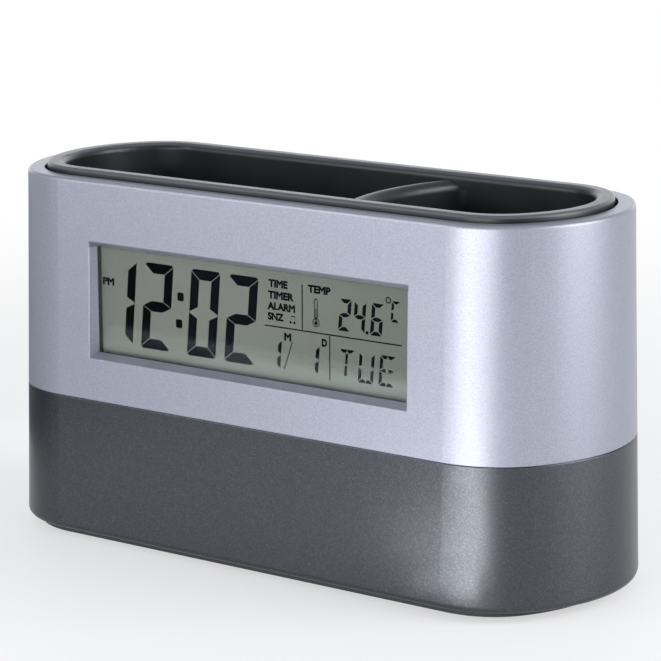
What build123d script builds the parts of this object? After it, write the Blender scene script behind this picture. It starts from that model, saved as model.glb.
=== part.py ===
# Pen holder clock: a desk cup in a two-tone casing, with a clock display in its front wall.
# Millimetres, +Z up. The origin is the middle of the footprint, on the floor. The display faces -Y.

import os
from math import atan2, degrees, radians, sqrt, tan

from build123d import *

os.makedirs("parts", exist_ok=True)

# Heights, from the floor up
foot_proud = 0.8
base_thickness = 1.4
lower_height = 32.9
upper_height = 52.3
cup_proud = 1.5
base_bottom_z = foot_proud
shell_bottom_z = base_bottom_z + base_thickness
seam_z = shell_bottom_z + lower_height
silver_top_z = seam_z + upper_height
cup_top_z = silver_top_z + cup_proud

# Plan of the casing at the seam: straight sides and ends rounded with three tangent arcs
body_length = 160.0
body_depth = 61.4
end_reach = 25.0
corner_radius = 22.0
draft_angle = 1.35
wall = 2.2
overrun = 1.0

# Fits
slide_gap = 0.2
loose_gap = 0.3
lap_gap = 0.1

# Seam between the shells, and the shells' own edges
tongue_thickness = 1.0
tongue_height = 2.3
seam_edge_radius = 0.25
shell_edge_radius = 1.5
rim_edge_radius = 0.8
rim_width = 3.9
shelf_width = 6.6
shelf_thickness = 2.0
shelf_depth = 3.0
floor_flange_width = 5.2
floor_flange_thickness = 2.0

# Pen cup
rim_groove = 0.7
cup_body_gap = 0.6
cup_wall = 1.8
cup_draft = 1.0
cup_floor_clearance = 1.2
cup_floor_thickness = 2.0
flange_outer_radius = 0.9
flange_inner_radius = 1.6
divider_thickness = 4.6
divider_bulge_x = 18.2
divider_radius = 50.0
divider_drop = 1.7
pocket_corner_radius = 3.5
cup_boss_diameter = 7.0
cup_boss_end_inset = 32.0
cup_boss_y = 10.0
cup_boss_x = body_length / 2 - cup_boss_end_inset

# Display window and what stands behind it
window_width = 89.6
window_height = 25.4
window_rise = 23.85
slope_side_width = 0.65
slope_top_width = 1.45
slope_foot_width = 0.95
slope_depth = 2.7
lens_setback = 3.25
lens_thickness = 0.7
lens_lap = 1.8
lens_play = 0.25
glass_lap = 1.55
glass_play = 0.3
contact_ledge = 2.5
polarizer_lap = 1.0
tape_thickness = 0.05
polarizer_thickness = 0.15
glass_thickness = 0.4
crystal_gap = 0.05
reflector_thickness = 0.2
press_rib_height = 0.9
press_rib_lap = 0.55
press_rib_width = 2.0
frame_side_margin = 7.55
frame_level_margin = 5.65
frame_root = 1.1
holder_inset = 1.5
holder_thickness = 1.2
holder_corner_radius = 2.0
holder_screw_side_inset = 1.4
holder_screw_level_inset = 4.3
ribbon_notch_height = 3.25

window_z = seam_z + window_rise
lens_front_y = body_depth / 2 - lens_setback
lens_back_y = lens_front_y - lens_thickness
polarizer_front_y = lens_back_y - tape_thickness
front_glass_y = polarizer_front_y - polarizer_thickness
segment_y = front_glass_y - glass_thickness
rear_glass_y = segment_y - crystal_gap
reflector_y = rear_glass_y - glass_thickness
stack_back_y = reflector_y - reflector_thickness
frame_back_y = stack_back_y - press_rib_height
holder_back_y = frame_back_y - holder_thickness
glass_width = window_width + 2 * glass_lap
glass_height = window_height + 2 * glass_lap
glass_bottom_z = window_z - glass_height / 2 - contact_ledge
glass_top_z = window_z + glass_height / 2
frame_width = window_width + 2 * frame_side_margin
frame_height = window_height + 2 * frame_level_margin
holder_width = frame_width - 2 * holder_inset
holder_height = frame_height - 2 * holder_inset
holder_screw_x = holder_width / 2 - holder_screw_side_inset
holder_screw_z = holder_height / 2 - holder_screw_level_inset

# Main board behind the lower front wall
board_thickness = 1.2
board_width = 76.0
board_height = 25.0
board_rise = 5.7
board_setback = 4.7
board_corner_radius = 1.0
board_screw_side_inset = 3.0
board_screw_level_inset = 3.5
board_bottom_z = base_bottom_z + board_rise
board_top_z = board_bottom_z + board_height
board_front_y = body_depth / 2 - board_setback
board_screw_x = board_width / 2 - board_screw_side_inset
board_screw_low_z = board_bottom_z + board_screw_level_inset
board_screw_high_z = board_top_z - board_screw_level_inset
board_back_y = board_front_y - board_thickness

# Small screws, all of one kind
pilot_diameter = 1.7
small_screw_diameter = 1.6
small_head_diameter = 3.6
small_head_height = 1.0
small_screw_length = 3.4
pilot_depth = 2.4
boss_diameter = 5.0
cross_width = 0.5
cross_depth = 0.5

# Buttons, and the switches that they press
button_names = ("mode", "set", "up", "down")
button_spacing = 14.0
button_length = 9.0
button_height = 4.6
button_flange_lap = 1.0
button_flange_thickness = 1.1
button_flange_setback = 3.3
button_proud = 0.5
button_edge_radius = 0.4
button_travel = 0.5
panel_end_margin = 4.5
panel_level_margin = 3.2
panel_corner_radius = 2.0
panel_depth = 0.5
switch_width = 6.0
switch_depth = 2.5
switch_edge = 0.5
plunger_diameter = 3.2
plunger_play = 0.15
plunger_insertion = 0.6
key_rise = 17.8
key_z = shell_bottom_z + key_rise
button_span = button_spacing * (len(button_names) - 1)
button_flange_y = body_depth / 2 - button_flange_setback
button_front_y = body_depth / 2 + button_proud
panel_length = button_span + button_length + 2 * panel_end_margin
panel_height = button_height + 2 * panel_level_margin
panel_floor_y = body_depth / 2 - panel_depth

# Air slots over the temperature sensor
vent_count = 4
vent_spacing = 2.4
vent_width = 1.2
vent_height = 8.0
vent_margin = 7.0
vent_x = -panel_length / 2 - vent_margin

# Key board behind the lower rear wall, under the buttons and the air slots
key_board_height = 13.0
key_board_setback = 6.6
key_screw_margin = 8.5
key_board_right_margin = 3.5
key_board_left_margin = 5.0
key_screw_x = button_span / 2 + key_screw_margin
key_board_left_x = vent_x - key_board_left_margin
key_board_right_x = key_screw_x + key_board_right_margin
key_board_back_y = body_depth / 2 - key_board_setback
key_board_front_y = key_board_back_y - board_thickness

# Base plate, feet and screws
base_side_inset = 2.6
base_end_extra = 1.9
base_edge_radius = 0.3
cover_thickness = 2.6
base_screw_diameter = 2.4
base_screw_hole = 2.8
base_pilot_diameter = 2.5
base_screw_length = 9.0
base_pilot_depth = 11.0
base_head_diameter = 5.6
base_head_height = 1.2
counterbore_diameter = 6.4
counterbore_depth = 1.6
foot_diameter = 10.0
foot_recess = 0.6
foot_play = 0.1
foot_edge = 0.3
foot_end_inset = 20.0
foot_side_inset = 14.7
foot_x = body_length / 2 - foot_end_inset
foot_y = body_depth / 2 - foot_side_inset

# Battery box for two cells side by side, and its sliding door
cell_diameter = 10.5
cell_length = 44.5
nub_diameter = 3.8
nub_length = 0.8
cell_edge_radius = 0.5
cell_side_gap = 0.7
cell_floor_gap = 0.4
box_end_room = 7.5
box_side_room = 1.7
box_wall = 1.4
box_roof_gap = 0.5
door_end_lap = 2.0
door_side_lap = 1.4
door_thickness = 1.2
door_tongue_reach = 1.3
door_tongue_thickness = 0.55
door_play = 0.3
door_rise = 0.1
grip_count = 5
grip_spacing = 1.6
grip_width = 0.7
grip_depth = 0.35
grip_length = 14.0
grip_offset = 6.0
cell_spacing = cell_diameter + cell_side_gap
box_length = cell_length + box_end_room
box_width = cell_spacing + cell_diameter + box_side_room
door_length = box_length + 2 * door_end_lap
door_width = box_width + 2 * door_side_lap
door_top_z = base_bottom_z + door_thickness
box_roof_z = door_top_z + cell_floor_gap + cell_diameter + box_roof_gap
box_top_z = box_roof_z + box_wall

# Battery contacts
contact_thickness = 0.4
contact_side_inset = 0.75
contact_bottom_gap = 0.5
contact_top_gap = 1.3
tail_width = 2.5
tail_rise = 2.0
dimple_diameter = 3.0
dimple_height = 0.5
leaf_thickness = 0.35
leaf_width = 6.0
leaf_bend_radius = 1.0
tail_top_z = box_top_z + tail_rise
cup_floor_z = tail_top_z + cup_floor_clearance

# Buzzer ring under the right-hand end of the cup
buzzer_end_inset = 18.0
buzzer_diameter = 20.0
buzzer_play = 0.3
buzzer_thickness = 0.3
ceramic_diameter = 14.0
ceramic_thickness = 0.25
ring_wall = 1.2
ring_ledge = 1.8
ledge_height = 1.0
ring_height = 3.0
sound_hole_diameter = 1.2
sound_hole_circle_radius = 3.5
sound_hole_count = 6
buzzer_x = body_length / 2 - buzzer_end_inset

# Leads and ribbons
battery_lead_diameter = 1.2
buzzer_lead_diameter = 1.0
arc_share = 0.45
lcd_ribbon_width = 36.0
lcd_ribbon_thickness = 0.15
key_ribbon_width = 7.6
key_ribbon_thickness = 1.0
key_ribbon_bend_radius = 4.0
key_ribbon_gap = 1.8
key_ribbon_x = -box_length / 2 - box_wall - key_ribbon_gap - key_ribbon_width / 2


def grow_at(level):
    """How far the casing stands out at a level, against its plan at the seam."""
    return (seam_z - level) * tan(radians(draft_angle))


def draw_outline(level, inset, end_extra=0.0):
    """The casing's plan at a level, in by an inset, and further in at its two ends."""
    side = inset - grow_at(level)
    end = side + end_extra
    half_depth = body_depth / 2 - side
    reach = end_reach - end
    corner = corner_radius - end
    flat = body_length / 2 - end_reach
    tip = (reach**2 + half_depth**2 - 2 * half_depth * corner) / (2 * (reach - corner))
    half_turn = degrees(atan2(half_depth - corner, tip - reach))
    with BuildLine() as plan:
        front = Line((-flat, -half_depth), (flat, -half_depth))
        first = JernArc(front @ 1, front % 1, corner, 90 - half_turn)
        second = JernArc(first @ 1, first % 1, tip, 2 * half_turn)
        third = JernArc(second @ 1, second % 1, corner, 90 - half_turn)
        rear = Line(third @ 1, (-flat, half_depth))
        fourth = JernArc(rear @ 1, rear % 1, corner, 90 - half_turn)
        fifth = JernArc(fourth @ 1, fourth % 1, tip, 2 * half_turn)
        JernArc(fifth @ 1, fifth % 1, corner, 90 - half_turn)
    make_face(plan.edges())


def plane_at(y):
    """An upright plane that faces the front, at a distance in front of the middle."""
    return Plane.XZ.offset(y)


def rear_plane_at(y):
    """An upright plane that faces the rear, at a distance behind the middle."""
    return Plane(origin=(0, y, 0), x_dir=(-1, 0, 0), z_dir=(0, 1, 0))


def save(piece, name):
    """Name a finished piece and write it."""
    piece.part.label = name
    export_step(piece.part, f"parts/{name}.step")


# Upper shell: silver, open below, with the rim, the shelf that the cup sits on and the window
groove_inset = wall - tongue_thickness - lap_gap
shelf_top_z = silver_top_z - shelf_depth
shelf_bottom_z = shelf_top_z - shelf_thickness
slope_cut = slope_depth + overrun
slope_side_cut = slope_side_width * slope_cut / slope_depth
slope_top_cut = slope_top_width * slope_cut / slope_depth
slope_foot_cut = slope_foot_width * slope_cut / slope_depth
frame_front_y = body_depth / 2 - frame_root - wall / 2

with BuildPart() as upper_housing:
    with BuildSketch(Plane.XY.offset(seam_z)):
        draw_outline(seam_z, 0)
    extrude(amount=upper_height, taper=draft_angle)
    fillet(upper_housing.faces().sort_by(Axis.Z)[-1].edges(), rim_edge_radius)
    fillet(upper_housing.faces().sort_by(Axis.Z)[0].edges(), seam_edge_radius)
    with BuildSketch(Plane.XY.offset(seam_z)):
        draw_outline(seam_z, wall)
    extrude(amount=shelf_bottom_z - seam_z, taper=draft_angle, mode=Mode.SUBTRACT)
    with BuildSketch(Plane.XY.offset(seam_z)):
        draw_outline(seam_z, groove_inset)
    extrude(amount=tongue_height + lap_gap, mode=Mode.SUBTRACT)
    with BuildSketch(Plane.XY.offset(shelf_bottom_z)):
        draw_outline(silver_top_z, shelf_width)
    extrude(amount=shelf_thickness, mode=Mode.SUBTRACT)
    with BuildSketch(Plane.XY.offset(shelf_top_z)):
        draw_outline(silver_top_z, rim_width)
    extrude(amount=shelf_depth + overrun, mode=Mode.SUBTRACT)
    with BuildSketch(plane_at(frame_back_y)):
        with Locations((0, window_z)):
            RectangleRounded(frame_width, frame_height, holder_corner_radius)
    extrude(amount=frame_front_y - frame_back_y)
    with BuildSketch(plane_at(frame_back_y)):
        with Locations((0, (glass_bottom_z + glass_top_z) / 2)):
            Rectangle(glass_width + 2 * glass_play, glass_top_z - glass_bottom_z + 2 * glass_play)
    extrude(amount=lens_back_y - frame_back_y, mode=Mode.SUBTRACT)
    with BuildSketch(plane_at(frame_back_y)):
        with Locations((0, window_z)):
            Rectangle(
                window_width + 2 * (lens_lap + lens_play),
                window_height + 2 * (lens_lap + lens_play),
            )
    extrude(amount=lens_front_y - frame_back_y, mode=Mode.SUBTRACT)
    with BuildSketch(plane_at(lens_front_y)):
        with Locations((0, window_z)):
            Rectangle(window_width, window_height)
    with BuildSketch(plane_at(lens_front_y + slope_cut)):
        with Locations((0, window_z + (slope_top_cut - slope_foot_cut) / 2)):
            Rectangle(window_width + 2 * slope_side_cut, window_height + slope_top_cut + slope_foot_cut)
    loft(ruled=True, mode=Mode.SUBTRACT)
    with BuildSketch(plane_at(frame_back_y)):
        with Locations((0, window_z)):
            with GridLocations(2 * holder_screw_x, 2 * holder_screw_z, 2, 2):
                Circle(pilot_diameter / 2)
    extrude(amount=pilot_depth, mode=Mode.SUBTRACT)
save(upper_housing, "upper_housing")

# Lower shell: dark grey, with its tongue, its floor flange, the board bosses and the button panel
tongue_inset = wall - tongue_thickness
flange_top_z = shell_bottom_z + floor_flange_thickness
switch_face_y = key_board_back_y + switch_depth
button_xs = [button_spacing * place - button_span / 2 for place in range(len(button_names))]
board_boss_places = [
    (x, z) for x in (-board_screw_x, board_screw_x) for z in (board_screw_low_z, board_screw_high_z)
]

with BuildPart() as lower_housing:
    with BuildSketch(Plane.XY.offset(shell_bottom_z)):
        draw_outline(shell_bottom_z, 0)
    extrude(amount=lower_height, taper=draft_angle)
    fillet(lower_housing.faces().sort_by(Axis.Z)[0].edges(), shell_edge_radius)
    fillet(lower_housing.faces().sort_by(Axis.Z)[-1].edges(), seam_edge_radius)
    with BuildSketch(Plane.XY.offset(seam_z)):
        draw_outline(seam_z, tongue_inset)
    extrude(amount=tongue_height)
    with BuildSketch(Plane.XY.offset(flange_top_z)):
        draw_outline(flange_top_z, wall)
    extrude(amount=seam_z - flange_top_z, taper=draft_angle, mode=Mode.SUBTRACT)
    with BuildSketch(Plane.XY.offset(seam_z)):
        draw_outline(seam_z, wall)
    extrude(amount=tongue_height, mode=Mode.SUBTRACT)
    with BuildSketch(Plane.XY.offset(shell_bottom_z)):
        draw_outline(shell_bottom_z, floor_flange_width)
    extrude(amount=floor_flange_thickness, mode=Mode.SUBTRACT)
    with BuildSketch(plane_at(board_front_y)):
        with Locations(*board_boss_places):
            Circle(boss_diameter / 2)
    extrude(amount=body_depth / 2 - wall / 2 - board_front_y)
    with BuildSketch(plane_at(board_front_y)):
        with Locations(*board_boss_places):
            Circle(pilot_diameter / 2)
    extrude(amount=pilot_depth, mode=Mode.SUBTRACT)
    with BuildSketch(rear_plane_at(key_board_back_y)):
        with Locations((-key_screw_x, key_z), (key_screw_x, key_z)):
            Circle(boss_diameter / 2)
    extrude(amount=body_depth / 2 - wall / 2 - key_board_back_y)
    with BuildSketch(rear_plane_at(key_board_back_y)):
        with Locations((-key_screw_x, key_z), (key_screw_x, key_z)):
            Circle(pilot_diameter / 2)
    extrude(amount=pilot_depth, mode=Mode.SUBTRACT)
    with BuildSketch(rear_plane_at(panel_floor_y)):
        with Locations((0, key_z)):
            RectangleRounded(panel_length, panel_height, panel_corner_radius)
    extrude(amount=body_depth / 2 + wall - panel_floor_y, mode=Mode.SUBTRACT)
    with BuildSketch(rear_plane_at(switch_face_y)):
        with Locations(*[(x, key_z) for x in button_xs]):
            SlotOverall(button_length + 2 * slide_gap, button_height + 2 * slide_gap)
    extrude(amount=body_depth / 2 + wall - switch_face_y, mode=Mode.SUBTRACT)
    with BuildSketch(rear_plane_at(switch_face_y)):
        with Locations((-vent_x, key_z)):
            with GridLocations(vent_spacing, vent_height, vent_count, 1):
                SlotOverall(vent_height, vent_width, rotation=90)
    extrude(amount=body_depth / 2 + wall - switch_face_y, mode=Mode.SUBTRACT)
save(lower_housing, "lower_housing")

# Pen cup: one black moulding, with the flange, two pockets, the divider between them and four bosses
flange_inset = rim_width + rim_groove
cup_inset = shelf_width + cup_body_gap
pocket_inset = cup_inset + cup_wall
pocket_floor_z = cup_floor_z + cup_floor_thickness
divider_top_z = cup_top_z - divider_drop
divider_shoulder_z = divider_top_z - divider_thickness / 2
divider_centre_x = divider_bulge_x + divider_radius
divider_edge_y = body_depth / 2 - pocket_inset + grow_at(silver_top_z) + cup_wall / 2
divider_edge_x = divider_centre_x - sqrt(divider_radius**2 - divider_edge_y**2)
cover_top_z = base_bottom_z + cover_thickness
boss_places = [(x, y) for x in (-cup_boss_x, cup_boss_x) for y in (-cup_boss_y, cup_boss_y)]


def draw_pocket(side):
    """Plan of one pocket: the cup's plan on one side of the curved divider, with rounded corners."""
    draw_outline(silver_top_z, pocket_inset)
    face_radius = divider_radius - side * divider_thickness / 2
    bow_x = divider_centre_x - sqrt(face_radius**2 - body_depth**2 / 4)
    beyond = Mode.INTERSECT if side > 0 else Mode.SUBTRACT
    with BuildLine() as region:
        bow = ThreePointArc(
            (bow_x, body_depth / 2),
            (divider_centre_x - face_radius, 0),
            (bow_x, -body_depth / 2),
        )
        Polyline(bow @ 1, (body_length, -body_depth / 2), (body_length, body_depth / 2), bow @ 0)
    make_face(region.edges(), mode=beyond)


with BuildPart() as pen_cup:
    with BuildSketch(Plane.XY.offset(shelf_top_z)):
        draw_outline(silver_top_z, cup_inset)
    extrude(amount=cup_floor_z - shelf_top_z, taper=cup_draft)
    with BuildSketch(Plane.XY.offset(shelf_top_z)):
        draw_outline(silver_top_z, flange_inset)
    extrude(amount=cup_top_z - shelf_top_z)
    fillet(pen_cup.faces().sort_by(Axis.Z)[-1].edges(), flange_outer_radius)
    with BuildSketch(Plane.XY.offset(divider_shoulder_z)):
        draw_outline(silver_top_z, pocket_inset)
    extrude(amount=cup_top_z - divider_shoulder_z, mode=Mode.SUBTRACT)
    for side in (-1, 1):
        with BuildSketch(Plane.XY.offset(divider_shoulder_z)) as pocket_plan:
            draw_pocket(side)
            fillet(pocket_plan.vertices().group_by(Axis.X)[-1 if side < 0 else 0], pocket_corner_radius)
        extrude(amount=pocket_floor_z - divider_shoulder_z, taper=cup_draft, mode=Mode.SUBTRACT)
    with BuildLine(Plane.XY.offset(divider_shoulder_z)) as crest_path:
        ThreePointArc(
            (divider_edge_x, -divider_edge_y),
            (divider_bulge_x, 0),
            (divider_edge_x, divider_edge_y),
        )
    with BuildSketch(Plane(crest_path.line @ 0, z_dir=crest_path.line % 0, x_dir=(0, 0, 1))):
        Circle(divider_thickness / 2)
    sweep()
    rim_edges = pen_cup.faces().sort_by(Axis.Z)[-1].inner_wires()[0].edges()
    fillet(rim_edges, flange_inner_radius)
    with BuildSketch(Plane.XY.offset(cup_floor_z)):
        with Locations(*boss_places):
            Circle(cup_boss_diameter / 2)
    extrude(amount=cover_top_z - cup_floor_z)
    with BuildSketch(Plane.XY.offset(cover_top_z)):
        with Locations(*boss_places):
            Circle(base_pilot_diameter / 2)
    extrude(amount=base_pilot_depth, mode=Mode.SUBTRACT)
save(pen_cup, "pen_cup")

# Bottom cover: base plate with its spigot, battery box, door tracks, screw holes and buzzer ring
tongue_bottom_z = door_top_z - door_tongue_thickness
contact_face_x = box_length / 2 - contact_thickness
channel_front_y = -door_width / 2 - door_play
channel_rear_y = body_depth / 2 + wall
ring_inner_radius = buzzer_diameter / 2 + buzzer_play

with BuildPart() as bottom_cover:
    with BuildSketch(Plane.XY.offset(base_bottom_z)):
        draw_outline(shell_bottom_z, base_side_inset, base_end_extra)
    extrude(amount=base_thickness)
    fillet(bottom_cover.faces().sort_by(Axis.Z)[0].edges(), base_edge_radius)
    with BuildSketch(Plane.XY.offset(shell_bottom_z)):
        draw_outline(shell_bottom_z, floor_flange_width + slide_gap)
    extrude(amount=cover_thickness - base_thickness)
    with BuildSketch(Plane.XY.offset(cover_top_z)):
        Rectangle(box_length + 2 * box_wall, box_width + 2 * box_wall)
        with Locations((buzzer_x, 0)):
            Circle(ring_inner_radius + ring_wall)
            Circle(buzzer_diameter / 2 - ring_ledge, mode=Mode.SUBTRACT)
    extrude(amount=ledge_height)
    with BuildSketch(Plane.XY.offset(cover_top_z + ledge_height)):
        with Locations((buzzer_x, 0)):
            Circle(ring_inner_radius + ring_wall)
            Circle(ring_inner_radius, mode=Mode.SUBTRACT)
    extrude(amount=ring_height - ledge_height)
    with BuildSketch(Plane.XY.offset(cover_top_z + ledge_height)):
        Rectangle(box_length + 2 * box_wall, box_width + 2 * box_wall)
    extrude(amount=box_top_z - cover_top_z - ledge_height)
    with BuildSketch(Plane.XY.offset(base_bottom_z)):
        Rectangle(box_length, box_width)
    extrude(amount=box_roof_z - base_bottom_z, mode=Mode.SUBTRACT)
    with BuildSketch(Plane.XY.offset(base_bottom_z)):
        with Locations((0, channel_front_y)):
            Rectangle(
                door_length + 2 * door_play,
                channel_rear_y - channel_front_y,
                align=(Align.CENTER, Align.MIN),
            )
    extrude(amount=base_thickness, mode=Mode.SUBTRACT)
    with BuildSketch(Plane.XY.offset(tongue_bottom_z - door_rise)):
        with Locations((0, channel_front_y)):
            Rectangle(
                door_length + 2 * (door_tongue_reach + door_play),
                channel_rear_y - channel_front_y,
                align=(Align.CENTER, Align.MIN),
            )
    extrude(amount=shell_bottom_z - tongue_bottom_z + door_rise, mode=Mode.SUBTRACT)
    with BuildSketch(Plane.XY.offset(base_bottom_z)):
        with Locations(*boss_places):
            Circle(base_screw_hole / 2)
        with Locations((buzzer_x, 0)):
            Circle(sound_hole_diameter / 2)
            with PolarLocations(sound_hole_circle_radius, sound_hole_count):
                Circle(sound_hole_diameter / 2)
    extrude(amount=cover_thickness, mode=Mode.SUBTRACT)
    with BuildSketch(Plane.XY.offset(base_bottom_z)):
        with Locations(*boss_places):
            Circle(counterbore_diameter / 2)
    extrude(amount=counterbore_depth, mode=Mode.SUBTRACT)
    with BuildSketch(Plane.XY.offset(base_bottom_z)):
        with GridLocations(2 * foot_x, 2 * foot_y, 2, 2):
            Circle(foot_diameter / 2 + foot_play)
    extrude(amount=foot_recess, mode=Mode.SUBTRACT)
    with BuildSketch(Plane.XY.offset(box_roof_z)):
        with Locations(
            (contact_face_x + contact_thickness / 2, -cell_spacing / 2),
            (contact_face_x + contact_thickness / 2, cell_spacing / 2),
        ):
            Rectangle(contact_thickness + slide_gap, tail_width + 2 * slide_gap)
    extrude(amount=box_wall, mode=Mode.SUBTRACT)
save(bottom_cover, "bottom_cover")

# Battery door: a plate with a tongue along each side and grip grooves underneath
with BuildPart() as battery_door:
    with BuildSketch(Plane.XY.offset(base_bottom_z)):
        Rectangle(door_length, door_width)
    extrude(amount=door_thickness)
    with BuildSketch(Plane.XY.offset(tongue_bottom_z)):
        Rectangle(door_length + 2 * door_tongue_reach, door_width)
    extrude(amount=door_tongue_thickness)
    with BuildSketch(Plane.XY.offset(base_bottom_z)):
        with Locations((0, grip_offset)):
            with GridLocations(grip_length, grip_spacing, 1, grip_count):
                SlotOverall(grip_length, grip_width)
    extrude(amount=grip_depth, mode=Mode.SUBTRACT)
save(battery_door, "battery_door")

# Four rubber feet, each in its round recess
for row, y in (("front", -foot_y), ("rear", foot_y)):
    for side, x in (("left", -foot_x), ("right", foot_x)):
        with BuildPart() as foot:
            with BuildSketch():
                with Locations((x, y)):
                    Circle(foot_diameter / 2)
            extrude(amount=foot_proud + foot_recess)
            chamfer(foot.faces().sort_by(Axis.Z)[0].edges(), foot_edge)
        save(foot, f"foot_{row}_{side}")

# Lens and display stack: each layer is a plate that lies on the one before
layers = (
    ("window_lens", lens_back_y, lens_thickness, lens_lap, lens_lap),
    ("front_polarizer", front_glass_y, polarizer_thickness, polarizer_lap, polarizer_lap),
    ("front_glass", segment_y, glass_thickness, glass_lap, glass_lap + contact_ledge),
    ("rear_glass", reflector_y, glass_thickness, glass_lap, glass_lap),
    ("lcd_reflector", stack_back_y, reflector_thickness, polarizer_lap, polarizer_lap),
)
for name, back_y, thickness, lap, low_lap in layers:
    with BuildPart() as layer:
        with BuildSketch(plane_at(back_y)):
            with Locations((0, window_z - (low_lap - lap) / 2)):
                Rectangle(window_width + 2 * lap, window_height + lap + low_lap)
        extrude(amount=thickness)
    save(layer, name)

# Seal round the liquid crystal, between the two glasses
seal_width = 0.9
with BuildPart() as lcd_seal:
    with BuildSketch(plane_at(rear_glass_y)):
        with Locations((0, window_z)):
            Rectangle(glass_width, glass_height)
            Rectangle(glass_width - 2 * seal_width, glass_height - 2 * seal_width, mode=Mode.SUBTRACT)
    extrude(amount=crystal_gap)
save(lcd_seal, "lcd_seal")

# Display segments: dark bars between the glasses, leaning a little to the right
slant_angle = 5.0
digit_gap = 0.28
digit_cut = 0.45
small_gap = 0.36
small_cut = 0.12
digit_rise = -0.1
digit_width = 8.4
digit_height = 20.5
digit_stroke = 2.4
digit_spacing = 11.0
hour_x = -39.1
minute_x = -14.3
colon_x = -21.3
colon_width = 1.85
colon_height = 2.0
colon_radius = 0.4
colon_spacing = 6.4
reading_rise = 4.5
reading_width = 3.15
reading_height = 7.3
reading_stroke = 0.92
reading_xs = (25.85, 29.85, 34.55)
point_x = 31.9
point_radius = 0.4
unit_x = 39.5
unit_rise = 6.85
unit_width = 2.2
unit_height = 4.7
unit_stroke = 0.62
degree_x = 37.6
degree_rise = 9.25
degree_radius = 0.75
date_rise = -6.75
date_width = 3.3
date_height = 6.9
date_stroke = 0.95
date_xs = (6.35, 16.95)
day_width = 4.1
day_height = 7.0
day_stroke = 0.8
day_xs = (26.15, 31.65, 37.25)
rule_width = 0.27
upper_rule_x = 14.05
lower_rule_x = 21.65
level_rule_rise = -0.5
level_rule_left_x = 3.4
level_rule_right_x = 41.2
upper_rule_top_rise = 10.05
lower_rule_bottom_rise = -10.85
slash_x = 10.05
slash_width = 0.2
slash_lean_angle = 20.0
bars_of_sign = {"0": "abcdef", "1": "bc", "2": "abged", "4": "fgbc", "6": "afgedc", "C": "afed"}
lean = tan(radians(slant_angle))
digit_z = window_z + digit_rise
reading_z = window_z + reading_rise
unit_z = window_z + unit_rise
degree_z = window_z + degree_rise
date_z = window_z + date_rise
level_rule_z = window_z + level_rule_rise
upper_rule_top_z = window_z + upper_rule_top_rise
lower_rule_bottom_z = window_z + lower_rule_bottom_rise
bars_of_letter = {"T": "ABil", "U": "fbecDE", "E": "ABfeGHDE"}


def bar_points(bar, half_width, half_height, stroke, gap, cut):
    """Corners of one bar of a sign about the sign's middle: a to g as on any seven-bar figure.

    The bar keeps clear of the next ones by the gap, which is half of the line between two bars.
    The cut takes off the sign's outer corners.
    """
    side_top = [(half_width, half_height - cut - gap), (half_width - stroke, half_height - stroke - gap)]
    side_foot = [(half_width - stroke, stroke / 2 + gap), (half_width, gap)]
    right = side_top + side_foot
    top = [
        (gap - half_width, half_height - cut),
        (gap + cut - half_width, half_height),
        (half_width - cut - gap, half_height),
        (half_width - gap, half_height - cut),
        (half_width - stroke - gap, half_height - stroke),
        (gap + stroke - half_width, half_height - stroke),
    ]
    middle = [
        (gap - half_width, 0),
        (gap + stroke - half_width, stroke / 2),
        (half_width - stroke - gap, stroke / 2),
        (half_width - gap, 0),
        (half_width - stroke - gap, -stroke / 2),
        (gap + stroke - half_width, -stroke / 2),
    ]
    post = [
        (-0.4 * stroke, half_height - stroke - gap),
        (0.4 * stroke, half_height - stroke - gap),
        (0.4 * stroke, gap),
        (-0.4 * stroke, gap),
    ]
    half_bar = [
        (gap - half_width, half_height - cut),
        (gap + cut - half_width, half_height),
        (-gap / 2, half_height),
        (-gap / 2, half_height - stroke / 2),
        (-stroke / 2, half_height - stroke),
        (gap + stroke - half_width, half_height - stroke),
    ]
    half_middle = [
        (gap - half_width, 0),
        (gap + stroke - half_width, stroke / 2),
        (-stroke / 2, stroke / 2),
        (-stroke / 2, -stroke / 2),
        (gap + stroke - half_width, -stroke / 2),
    ]
    shapes = {
        "a": (top, 1, 1),
        "b": (right, 1, 1),
        "c": (right, 1, -1),
        "d": (top, 1, -1),
        "e": (right, -1, -1),
        "f": (right, -1, 1),
        "g": (middle, 1, 1),
        "i": (post, 1, 1),
        "l": (post, 1, -1),
        "A": (half_bar, 1, 1),
        "B": (half_bar, -1, 1),
        "D": (half_bar, 1, -1),
        "E": (half_bar, -1, -1),
        "G": (half_middle, 1, 1),
        "H": (half_middle, -1, 1),
    }
    points, across, upward = shapes[bar]
    return [(across * x, upward * z) for x, z in points]


def draw_sign(bars, x, z, width, height, stroke, gap=small_gap, cut=small_cut):
    """One sign of the display, leaning about its own middle."""
    for bar in bars:
        corners = bar_points(bar, width / 2, height / 2, stroke, gap / 2, cut)
        Polygon(*[(x + across + up * lean, z + up) for across, up in corners], align=None)


def draw_digit(sign, x):
    """One of the four big numbers of the time."""
    draw_sign(bars_of_sign[sign], x, digit_z, digit_width, digit_height, digit_stroke, digit_gap, digit_cut)


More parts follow.
